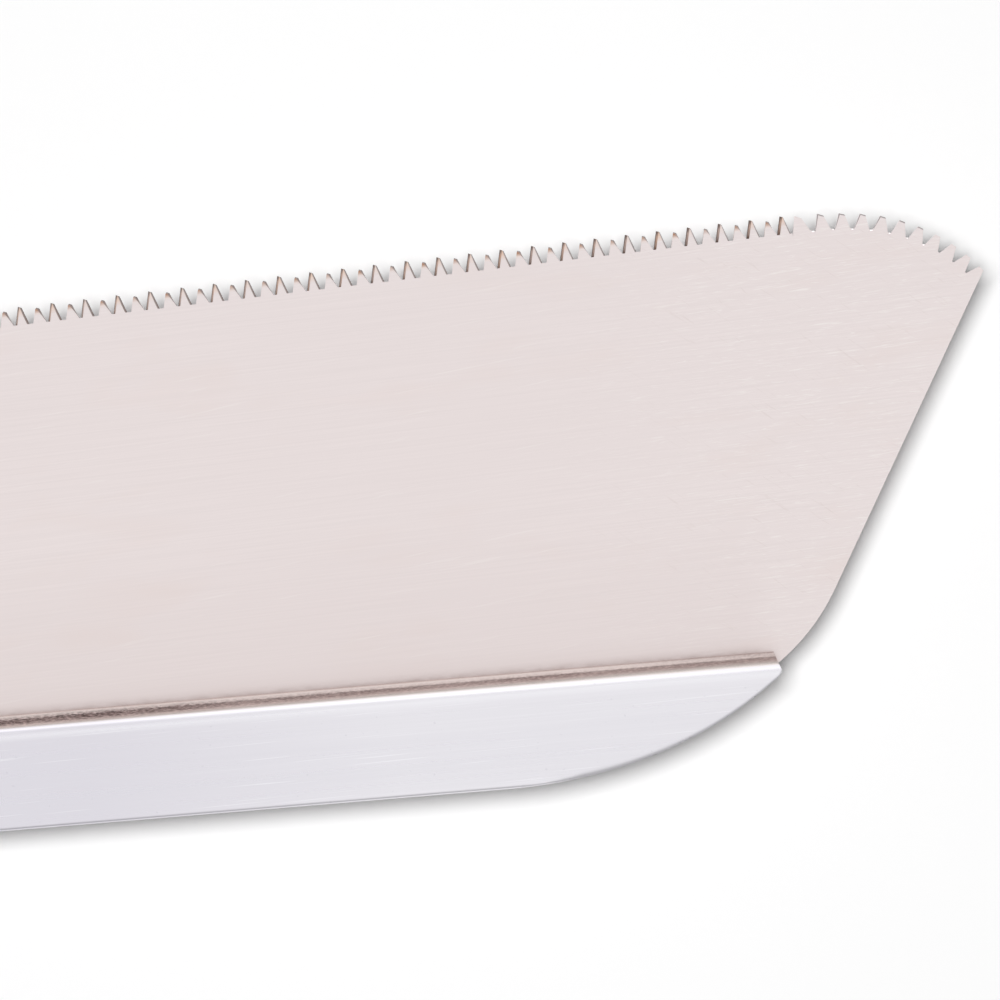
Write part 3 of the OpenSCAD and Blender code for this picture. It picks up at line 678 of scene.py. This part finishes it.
noseTeeth = {
    # middle of the nose's arc, from the pivot, and how far from it the tops and the gullets lie
    "centre": (246.15, 6.25), "tops": (15.1, 15.9), "gullets": (13.9, 14.45), "above": 3.0,
    "levelSlack": 0.01, "longestTop": 1.0, "longestFlank": 3.0, "fileWidth": 0.1,
    "flanksTo": 250.5, "topsTo": 253.6,
    # rise of the left corner of a tooth's top: place along the blade, rise
    "cornerRise": ((242.4, 0.36), (246.5, 0.12), (254.0, 0.0)),
    # burr on a gullet's edge: distance from the edge and height over the plate, and its length in each gullet
    "burr": ((0.0, -0.005), (0.1, 0.045), (0.11, -0.005)),
    "burrLengths": (0.2, 0.08, 0.14, 0.2, 0.12, 0.08, 0.16),
}


# nose teeth: raised left corners, filed edges on their tops and left flanks, stoned burrs in their gullets
def fileNoseTeeth(work):
    look = noseTeeth
    middle = fromPivot(*look["centre"])
    half = toothRow["halfPlate"] * mm

    def within(vertex, radii, level):
        away = vertex.co - middle
        if abs(away.z - level) >= look["levelSlack"] * mm or away.y <= look["above"] * mm:
            return False
        return radii[0] < away.to_2d().length / mm < radii[1]

    def edgesAt(radii, level):
        short = [e for e in work.edges if e.calc_length() < look["longestTop"] * mm]
        return [e for e in short if all(within(v, radii, level) for v in e.verts)]

    def isLeftFlank(edge):
        gullet, top = sorted(edge.verts, key=lambda v: (v.co - middle).to_2d().length)
        if not (within(top, look["tops"], half) and within(gullet, look["gullets"], half)):
            return False
        return top.co.x > gullet.co.x and (top.co - pivotSpot).x < look["flanksTo"] * mm

    for level in (-half, half):
        for edge in edgesAt(look["tops"], level):
            corner = min(edge.verts, key=lambda v: v.co.x)
            rise = alongLine(look["cornerRise"], (corner.co - pivotSpot).x / mm)
            corner.co += (corner.co - middle).to_2d().normalized().to_3d() * rise * mm
    gullets = [(e.verts[0].co + e.verts[1].co) / 2 for e in edgesAt(look["gullets"], half)]
    gullets.sort(key=lambda spot: spot.x)
    burrs = list(zip(gullets, look["burrLengths"]))
    tops = [e for e in edgesAt(look["tops"], half) if (e.verts[0].co - pivotSpot).x < look["topsTo"] * mm]
    flanks = [e for e in work.edges if e.calc_length() < look["longestFlank"] * mm and isLeftFlank(e)]
    width = look["fileWidth"] * mm
    filed = bmesh.ops.bevel(work, geom=tops + flanks, offset=width, segments=1, affect="EDGES")
    for face in filed["faces"]:
        face.material_index = 1  # filed
    for spot, length in burrs:
        corners = [work.verts.new(spot + Vector((side * length / 2, -away, height)) * mm)
                   for side in (-1.0, 1.0) for away, height in look["burr"]]
        faces = [work.faces.new([corners[k] for k in ring]) for ring in tubeFaces(2, len(look["burr"]))]
        bmesh.ops.recalc_face_normals(work, faces=faces)
        for face in faces:
            face.material_index = 2  # stoned
    print("nose teeth filed:", len(tops), "tops,", len(flanks), "flanks,", len(burrs), "burrs")


# the plate keeps its nose teeth; the row of set teeth is cut off, for the bevelled ones
def makePlate():
    look = toothRow
    plate = copyNode("sawPlate", "saw_plate")
    turn = Matrix.Rotation(math.radians(look["slope"]), 4, "Z")
    low, high = -look["depth"], look["cutReach"]
    left, right = -look["lastTip"][0], look["room"]
    corners = [(left, low), (right, low), (right, high), (left, high)]
    points = [fromPivot(*look["lastTip"], z) + turn @ (Vector((u, v, 0)) * mm)
              for z in (-look["cutReach"], look["cutReach"]) for u, v in corners]
    cutWith(plate, addObject("toothCutter", meshFrom("toothCutter", points, tubeFaces(2, len(corners)))))
    paint(plate, steel, filedGrey, stonedSteel)
    work = bmesh.new()
    work.from_mesh(plate.data)
    fileNoseTeeth(work)
    work.to_mesh(plate.data)
    work.free()
    shade(plate, look["crease"])
    dress(plate, "blade", "saw_plate")


makePlate()
makeTeeth()
print("plate and teeth made")

spineShape = {
    "heel": 24.5, "nose": 238.0, "shoulder": -16.3, "depth": 8.54, "half": 2.0,
    "backRound": 0.4, "backStep": 10, "crease": 32.0,
    # radius of the shoulder by its place from the nose, then the slope and the lip under it
    "bendRounds": ((-66.0, 0.95), (-30.0, 1.45), (-4.0, 1.85)), "bendTurn": 58.0, "bendSteps": 12,
    "slopeEnd": 0.682, "slopeFoot": 0.95, "footRound": 0.4, "footSteps": 8,
    "lipRuns": ((0.07, 0.0), (0.11, 0.04), (0.13, 0.1)), "plateFace": 0.25, "heelBreak": 0.4,
    # broken back edge: its size, how it grows towards the heel and at the nose, and its section
    "edgeBreak": 0.22, "heelSoft": 2.8, "noseSoft": 1.25, "biteRise": 0.5, "breakDrop": 0.45,
    "breakSteps": (0.0, 0.05, 0.15, 0.35, 0.65, 1.0),
    # the back's curve to the nose, and the last steps of the nose
    "curve": ((0.0, -0.6), (-9.8, -8.54), (-24.5, -8.54)), "curveEnd": -0.3, "stations": 34, "crowding": 1.5,
    "noseLow": ((-0.3, -0.83), (-0.12, -0.6), (-0.05, -0.42)),
    "noseHigh": ((-0.55, 1.2), (-0.28, 0.25), (-0.05, -0.38)),
    "noseSteps": (-0.55, -0.48, -0.41, -0.34, -0.28, -0.2, -0.12, -0.08, -0.05), "noseGap": 0.02,
    "gap": 0.003,
}


# upper side of the spine's section: distance over the shoulder and height over mid thickness;
# bend is the radius of its shoulder
def spineSection(bend):
    look = spineShape
    half, back = look["half"], look["backRound"]
    quarter = [math.radians(a) for a in range(90, -1, -look["backStep"])]
    line = [(back * (1 - math.sin(a)) - look["depth"], half - back + back * math.cos(a)) for a in quarter]
    foot, turn = look["footRound"], math.radians(look["bendTurn"])
    drop = half - bend * (1 - math.cos(turn)) - look["slopeFoot"]
    y = look["slopeEnd"] - drop / math.tan(turn) - bend * math.sin(turn)
    for k in range(look["bendSteps"] + 1):
        a = turn * k / look["bendSteps"]
        line.append((y + bend * math.sin(a), half - bend * (1 - math.cos(a))))
    y = look["slopeEnd"] + foot * math.sin(turn)
    z = look["slopeFoot"] - foot * (1 - math.cos(turn))
    for k in range(look["footSteps"] + 1):
        a = turn * (1 - k / look["footSteps"])
        line.append((y - foot * math.sin(a), z + foot * (1 - math.cos(a))))
    line.extend((y + run, z - fall) for run, fall in look["lipRuns"])
    return line


# station along the spine: x, lowest and highest y, inset of the whole ring,
# width and depth of the broken edge
def spineStations(lipEdge):
    look = spineShape
    start = look["heel"] - look["nose"]
    stations = [(start, -look["depth"], lipEdge, look["heelBreak"], 0.0, 0.0)]
    for x in (start + look["heelBreak"], look["bendRounds"][0][0]):
        stations.append((x, -look["depth"], lipEdge, 0.0, 0.0, 0.0))
    p0, p1, p2 = (Vector(p) for p in look["curve"])

    def onCurve(t):
        return (1 - t) ** 2 * p0 + 2 * t * (1 - t) * p1 + t * t * p2

    for k in range(look["stations"] + 1):
        t = (1 - k / look["stations"]) ** look["crowding"]
        spot = onCurve(t)
        run = 2 * (1 - t) * (p1 - p0) + 2 * t * (p2 - p1)
        if spot.x < look["noseSteps"][0] - look["noseGap"]:
            bite = min(1.0, (spot.y + look["depth"]) / look["biteRise"])
            soft = look["edgeBreak"] * (1 + look["heelSoft"] * t) * bite
            stations.append((spot.x, spot.y, lipEdge, 0.0, soft * run.length / abs(run.x), soft))
    for x in look["noseSteps"]:
        t = (p0.x - x) / (2 * (p0.x - p1.x))  # near the nose, x goes almost evenly with t
        low = onCurve(t).y if x <= look["curveEnd"] else alongLine(look["noseLow"], x)
        high = min(lipEdge, alongLine(look["noseHigh"], x))
        stations.append((x, low, high, 0.0, look["edgeBreak"] * look["noseSoft"], look["edgeBreak"]))
    return stations


def makeSpine():
    look = spineShape
    lipEdge = spineSection(look["bendRounds"][0][1])[-1][0]  # the same for any shoulder
    rings = []
    for x, low, high, inset, soft, depth in spineStations(lipEdge):
        section = spineSection(alongLine(look["bendRounds"], x))
        soft = min(soft, max(high - low, 0.0))
        ys = [min(low + soft * s, high) for s in look["breakSteps"]]
        ys += [min(max(y, low + soft), high) for y, _ in section[1:]]
        upper = []
        for y in ys:
            z = alongLine(section, y)
            if soft > 0 and y < low + soft:
                share = 1 - (y - low) / soft
                z -= look["breakDrop"] * depth * share * share
            upper.append((y, max(z - inset, look["plateFace"])))
        upper.append((high, look["plateFace"]))
        rings.append([(x, y, z) for y, z in upper] + [(x, y, -z) for y, z in reversed(upper)])
    points = [fromPivot(look["nose"] + x, look["shoulder"] + y, z) for ring in rings for x, y, z in ring]
    mesh = meshFrom("spineStrip", points, tubeFaces(len(rings), len(rings[0])))
    mend(mesh, look["gap"], slivers=True)
    spine = addObject("spineStrip", mesh)
    shade(spine, look["crease"])
    dress(spine, "blade", "spine", spineAlloy)


makeSpine()
print("spine made")


# rings of a turned piece: radius, height, and whether the ring is a hexagon
def turnedPart(name, rings, sides=48, gap=0.001):
    points = []
    for radius, height, hexagon in rings:
        for k in range(sides):
            a = 2 * math.pi * k / sides
            off = (a + math.pi / 6) % (math.pi / 3) - math.pi / 6
            r = radius * (math.cos(math.pi / 6) / math.cos(off) if hexagon else 1.0)
            points.append(Vector((r * math.cos(a), r * math.sin(a), height)) * mm)
    mesh = meshFrom(name, points, tubeFaces(len(rings), sides))
    mend(mesh, gap)
    return addObject(name, mesh)


# one shape on each of several spots
def buildSpotTree():
    tree, keys, given = newTree("onSpots", {"Shape": "Object", "Turn": "Vector", "Finish": "Material"})
    shape = addNode(tree, "GeometryNodeObjectInfo", {"Object": given["Shape"]})
    placed = addNode(tree, "GeometryNodeInstanceOnPoints", {
        "Points": given["Geometry"], "Instance": shape.outputs["Geometry"], "Rotation": given["Turn"],
    })
    real = addNode(tree, "GeometryNodeRealizeInstances", {"Geometry": placed})
    finished = addNode(tree, "GeometryNodeSetMaterial", {"Geometry": real, "Material": given["Finish"]})
    addNode(tree, "NodeGroupOutput", {"Geometry": finished})
    return tree, keys


spotTree, spotKeys = buildSpotTree()


def putOnSpots(name, spots, shape, finish, turn):
    thing = addObject(name, meshFrom(name, [fromPivot(*s) for s in spots], []))
    growWith(thing, spotTree, spotKeys, {"Shape": shape, "Turn": turn, "Finish": finish})
    return thing


# rings of the shapes: radius, height, and 1 for a hexagon
socketHead = [
    (3.05, 7.6, 0), (3.2, 7.75, 0), (3.2, 9.1, 0), (3.11, 9.31, 0), (2.9, 9.4, 0),
    (1.82, 9.4, 1), (1.7, 9.28, 1), (1.7, 8.2, 1), (0.6, 8.05, 0),
]
fasteners = {
    "handleSpots": [(-82.0, -18.2), (-150.0, -19.5), (-220.0, -18.2), (-271.52, -9.0)],
    "bolsterSpots": [(-18.0, 9.0), (11.0, -14.5)],
    "spineSpots": [(34.0, -19.8), (62.0, -19.8)],
    "tangSpots": [(26.0, 3.0), (41.0, 2.0), (26.0, -9.0), (42.0, -9.0)],
    "asMade": (0.0, 0.0, 0.0), "turnedOver": (math.pi, 0.0, 0.0),
    "shapes": {
        "screw": [(1.8, -3.8, 0), (1.8, 7.6, 0), *socketHead],
        "nut": [(2.45, -2.3, 0), (2.6, -2.15, 0), (2.6, 7.6, 0), *socketHead],
        "sunkScrew": [
            (1.5, 2.3, 0), (1.5, 8.9, 0), (2.86, 10.26, 0), (2.9, 10.3, 0), (2.84, 10.35, 0),
            (1.82, 10.35, 1), (1.7, 10.25, 1), (1.7, 9.1, 1), (0.6, 9.0, 0),
        ],
        "domeRivet": [
            (1.5, -2.0, 0), (1.5, 2.0, 0), (1.9, 2.0, 0), (1.86, 2.07, 0), (1.6, 2.16, 0), (1.1, 2.22, 0),
            (0.5, 2.25, 0),
        ],
        "flushRivet": [(1.82, -1.75, 0), (2.0, -1.66, 0), (2.0, 1.66, 0), (1.82, 1.75, 0)],
    },
    # finish, body and slot
    "zinc": (fastenerSteel, "handle", "fastener_steel"),
    "alloy": (spineAlloy, "blade", "spine_alloy"),
    "steel": (tangSteel, "blade", "tang_steel"),
    # name, node, spots, shape, turn and metal
    "rows": [
        ("handleScrews", "handle_screws", "handleSpots", "screw", "asMade", "zinc"),
        ("handleNuts", "handle_nuts", "handleSpots", "nut", "turnedOver", "zinc"),
        ("bolsterScrewsLeft", "bolster_screws", "bolsterSpots", "sunkScrew", "asMade", "zinc"),
        ("bolsterScrewsRight", "bolster_screws", "bolsterSpots", "sunkScrew", "turnedOver", "zinc"),
        ("spineRivetsLeft", "spine_rivets", "spineSpots", "domeRivet", "asMade", "alloy"),
        ("spineRivetsRight", "spine_rivets", "spineSpots", "domeRivet", "turnedOver", "alloy"),
        ("tangRivets", "tang_rivets", "tangSpots", "flushRivet", "asMade", "steel"),
    ],
}


def makeFasteners():
    look = fasteners
    shapes = {key: turnedPart(key + "Shape", rings) for key, rings in look["shapes"].items()}
    for name, node, spots, shape, turn, metal in look["rows"]:
        finish, body, slot = look[metal]
        row = putOnSpots(name, look[spots], shapes[shape], finish, look[turn])
        shade(row)
        dress(row, body, node)
    for shape in shapes.values():
        bpy.data.objects.remove(shape)


makeFasteners()
print("fasteners made")

gripShape = {
    "first": -78.0, "last": -212.0, "step": 6.7, "middle": -4.5, "length": 15.0, "width": 2.4, "sink": 0.55,
    "face": 10.8, "slant": 18.0, "sides": 20, "endSteps": 6, "endRadius": 0.001, "crease": 38.0,
}


# rounded bar that presses one groove, along Y
def grooveBar():
    look = gripShape
    radius, half = look["width"] / 2, look["length"] / 2 - look["width"] / 2
    rings = []
    for k in range(look["endSteps"] + 1):
        a = math.pi / 2 * k / look["endSteps"]
        rings.append((max(radius * math.sin(a), look["endRadius"]), -half - radius * math.cos(a), 0))
    rings += [(r, -y, 0) for r, y, _ in reversed(rings)]
    bar = turnedPart("grooveBar", rings, look["sides"])
    bar.data.transform(Matrix.Rotation(-math.pi / 2, 4, "X"))
    return bar


def makeGrip(name, node, side):
    look = gripShape
    grip = copyNode(name, node)
    bar = grooveBar()
    level = side * (look["face"] - look["sink"] + look["width"] / 2)
    count = int((look["first"] - look["last"]) / look["step"])
    spots = [(look["first"] - k * look["step"], look["middle"], level) for k in range(count + 1)]
    grooves = putOnSpots(name + "Grooves", spots, bar, gripRubber, (0.0, 0.0, math.radians(look["slant"])))
    bpy.data.objects.remove(bar)
    cutWith(grip, grooves)
    shade(grip, look["crease"])
    dress(grip, "handle", node, gripRubber)


makeGrip("leftGrip", "left_grip", 1.0)
makeGrip("rightGrip", "right_grip", -1.0)
print("grips made")

# pieces that keep their CAD shape, with broken edges: nodes, edge in mm, finish, body, slot
brokenPieces = [
    (("left_bolster", "right_bolster"), 0.15, bolsterCoat, "handle", "bolster_alloy"),
    (("left_liner", "right_liner"), 0.15, linerAlloy, "handle", "liner_alloy"),
    (("left_tang_cheek", "right_tang_cheek"), 0.12, tangSteel, "blade", "tang_steel"),
    (("back_spacer", "butt_spacer"), 0.2, nylon, "handle", "spacer_nylon"),
    (("hang_eyelet",), 0.2, fastenerSteel, "handle", "fastener_steel"),
    (("pivot_bolt",), 0.25, fastenerSteel, "handle", "fastener_steel"),
    (("pivot_nut",), 0.2, fastenerSteel, "handle", "fastener_steel"),
    (("lock_lever",), 0.2, leverSteel, "lock_lever", "lever_steel"),
    (("thumb_pad",), 0.2, padRubber, "lock_lever", "pad_rubber"),
]
for nodes, width, finish, body, slot in brokenPieces:
    for node in nodes:
        first, *others = node.split("_")
        pieceName = first + "".join(word.title() for word in others)
        dress(breakEdges(pieceName, node, width), body, node, finish)

# sealed inner pieces keep their CAD meshes
for node, finish in (("pivot_bush", bronze), ("thrust_washers", bronze), ("stop_pin", fastenerSteel),
                     ("lever_pin", fastenerSteel)):
    paint(frame["nodes"][node], finish)

leafShape = {"lengths": 24, "bendsFrom": (-60.0, -17.45), "bendsTo": (-42.0, -17.45)}


# leaf spring, cut into short lengths
def makeLeaf():
    look = leafShape
    leaf = copyNode("lockLeaf", "lock_spring")
    low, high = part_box("lock_spring")
    work = bmesh.new()
    work.from_mesh(leaf.data)
    for k in range(1, look["lengths"]):
        spot = Vector((low.x + (high.x - low.x) * k / look["lengths"], 0.0, 0.0))
        bmesh.ops.bisect_plane(work, geom=work.verts[:] + work.edges[:] + work.faces[:], plane_co=spot,
                               plane_no=(1.0, 0.0, 0.0))
    work.to_mesh(leaf.data)
    work.free()
    paint(leaf, springSteel)
    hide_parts("lock_spring")
    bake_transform(leaf)


makeLeaf()
print("handle and lock made")

studio = {
    "keySpot": (218.0, 11.6, 276.0), "keyRadius": 31.0, "keyLight": 40.0,
    "ambient": 0.1, "walls": (0.05, 0.93, 0.38, 1.0),
    "panelTowards": (-0.08, 0.86, 0.50), "panel": (0.92, 0.99, 0.0, 0.85),
    "floor": "#f4f4f4", "floorHalf": 4000.0, "floorDrop": 0.1, "floorRoughness": 0.9,
    "fibres": (3.0, 1.0, 0.0), "fibreDepth": 0.005,
}


# a bright ceiling over dim walls, with one soft panel beyond the teeth, for what metal mirrors
def makeWorld():
    look = studio
    world = bpy.data.worlds.new("softStudio")
    scene.world = world
    world.use_nodes = True
    tree = world.node_tree
    tree.nodes.clear()
    direction = addNode(tree, "ShaderNodeTexCoord").outputs["Generated"]
    height = addNode(tree, "ShaderNodeSeparateXYZ", {"Vector": direction}).outputs["Z"]
    facing = addNode(tree, "ShaderNodeVectorMath", {
        0: direction, 1: Vector(look["panelTowards"]).normalized(),
    }, {"operation": "DOT_PRODUCT"})
    walls, panel = (addNode(tree, "ShaderNodeMapRange", dict(zip(rangeKeys, (value, *look[key]))),
                            {"interpolation_type": "SMOOTHSTEP"})
                    for value, key in ((height, "walls"), (facing, "panel")))
    shown = addNode(tree, "ShaderNodeMath", {0: walls, 1: panel}, {"operation": "ADD"})
    path = addNode(tree, "ShaderNodeLightPath").outputs
    mirrored = addNode(tree, "ShaderNodeMath", {
        0: path["Is Glossy Ray"], 1: path["Is Transmission Ray"],
    }, {"operation": "MAXIMUM"})
    lit = addNode(tree, "ShaderNodeMix", {
        "Factor": mirrored, "A": look["ambient"], "B": shown,
    }, {"data_type": "FLOAT"})
    level = addNode(tree, "ShaderNodeMix", {
        "Factor": path["Is Camera Ray"], "A": lit, "B": 1.0,
    }, {"data_type": "FLOAT"})
    sky = addNode(tree, "ShaderNodeBackground", {"Color": (1.0, 1.0, 1.0, 1.0), "Strength": level})
    addNode(tree, "ShaderNodeOutputWorld", {"Surface": sky})


# one soft globe over the toe, whose size sets how soft the shadow is; its light doesn't fall off
# with distance, so that the handle is lit about as well
def makeKey():
    look = studio
    lamp = bpy.data.lights.new("keyLamp", "POINT")
    lamp.shadow_soft_size = look["keyRadius"] * mm
    lamp.energy = look["keyLight"]
    lamp.use_nodes = True
    tree = lamp.node_tree
    tree.nodes.clear()
    even = addNode(tree, "ShaderNodeLightFalloff", {"Strength": 1.0})
    glow = addNode(tree, "ShaderNodeEmission", {"Strength": even.outputs["Constant"]})
    addNode(tree, "ShaderNodeOutputLight", {"Surface": glow})
    key = addObject("keyLamp", lamp)
    key.location = Vector(look["keySpot"]) * mm
    key.visible_glossy = False
    key.visible_camera = False


# white paper sweep, which keeps the saw's shadow
def makeFloor():
    look = studio
    half, level = look["floorHalf"] * mm, -look["floorDrop"] * mm
    floor = addObject("paperFloor", meshFrom("paperFloor", [
        (-half, -half, level), (half, -half, level), (half, half, level), (-half, half, level),
    ], [[0, 1, 2, 3]]))
    material, tree, shader, spot = newMaterial("whitePaper")
    fibres = streaks(tree, spot, *look["fibres"])
    finishWith(tree, shader, linear(look["floor"]), look["floorRoughness"], fibres, look["fibreDepth"],
               {"Specular IOR Level": 0.0})
    paint(floor, material)


photoView = {
    "middle": (226.32, 2.11, 11.05), "width": 85.25, "distance": 285.0, "turn": -4.76, "sensor": 36.0,
    "clip": (0.01, 50.0),
}


def makeCamera():
    look = photoView
    lens = bpy.data.cameras.new("photoCamera")
    lens.type = "PERSP"
    lens.sensor_width = look["sensor"]
    lens.lens = look["sensor"] * look["distance"] / look["width"]
    lens.clip_start, lens.clip_end = look["clip"]
    camera = addObject("photoCamera", lens)
    x, y, z = look["middle"]
    camera.location = Vector((x, y, z + look["distance"])) * mm
    camera.rotation_euler = (0.0, 0.0, math.radians(look["turn"]))
    scene.camera = camera


makeWorld()
makeKey()
makeFloor()
makeCamera()
print("studio made")
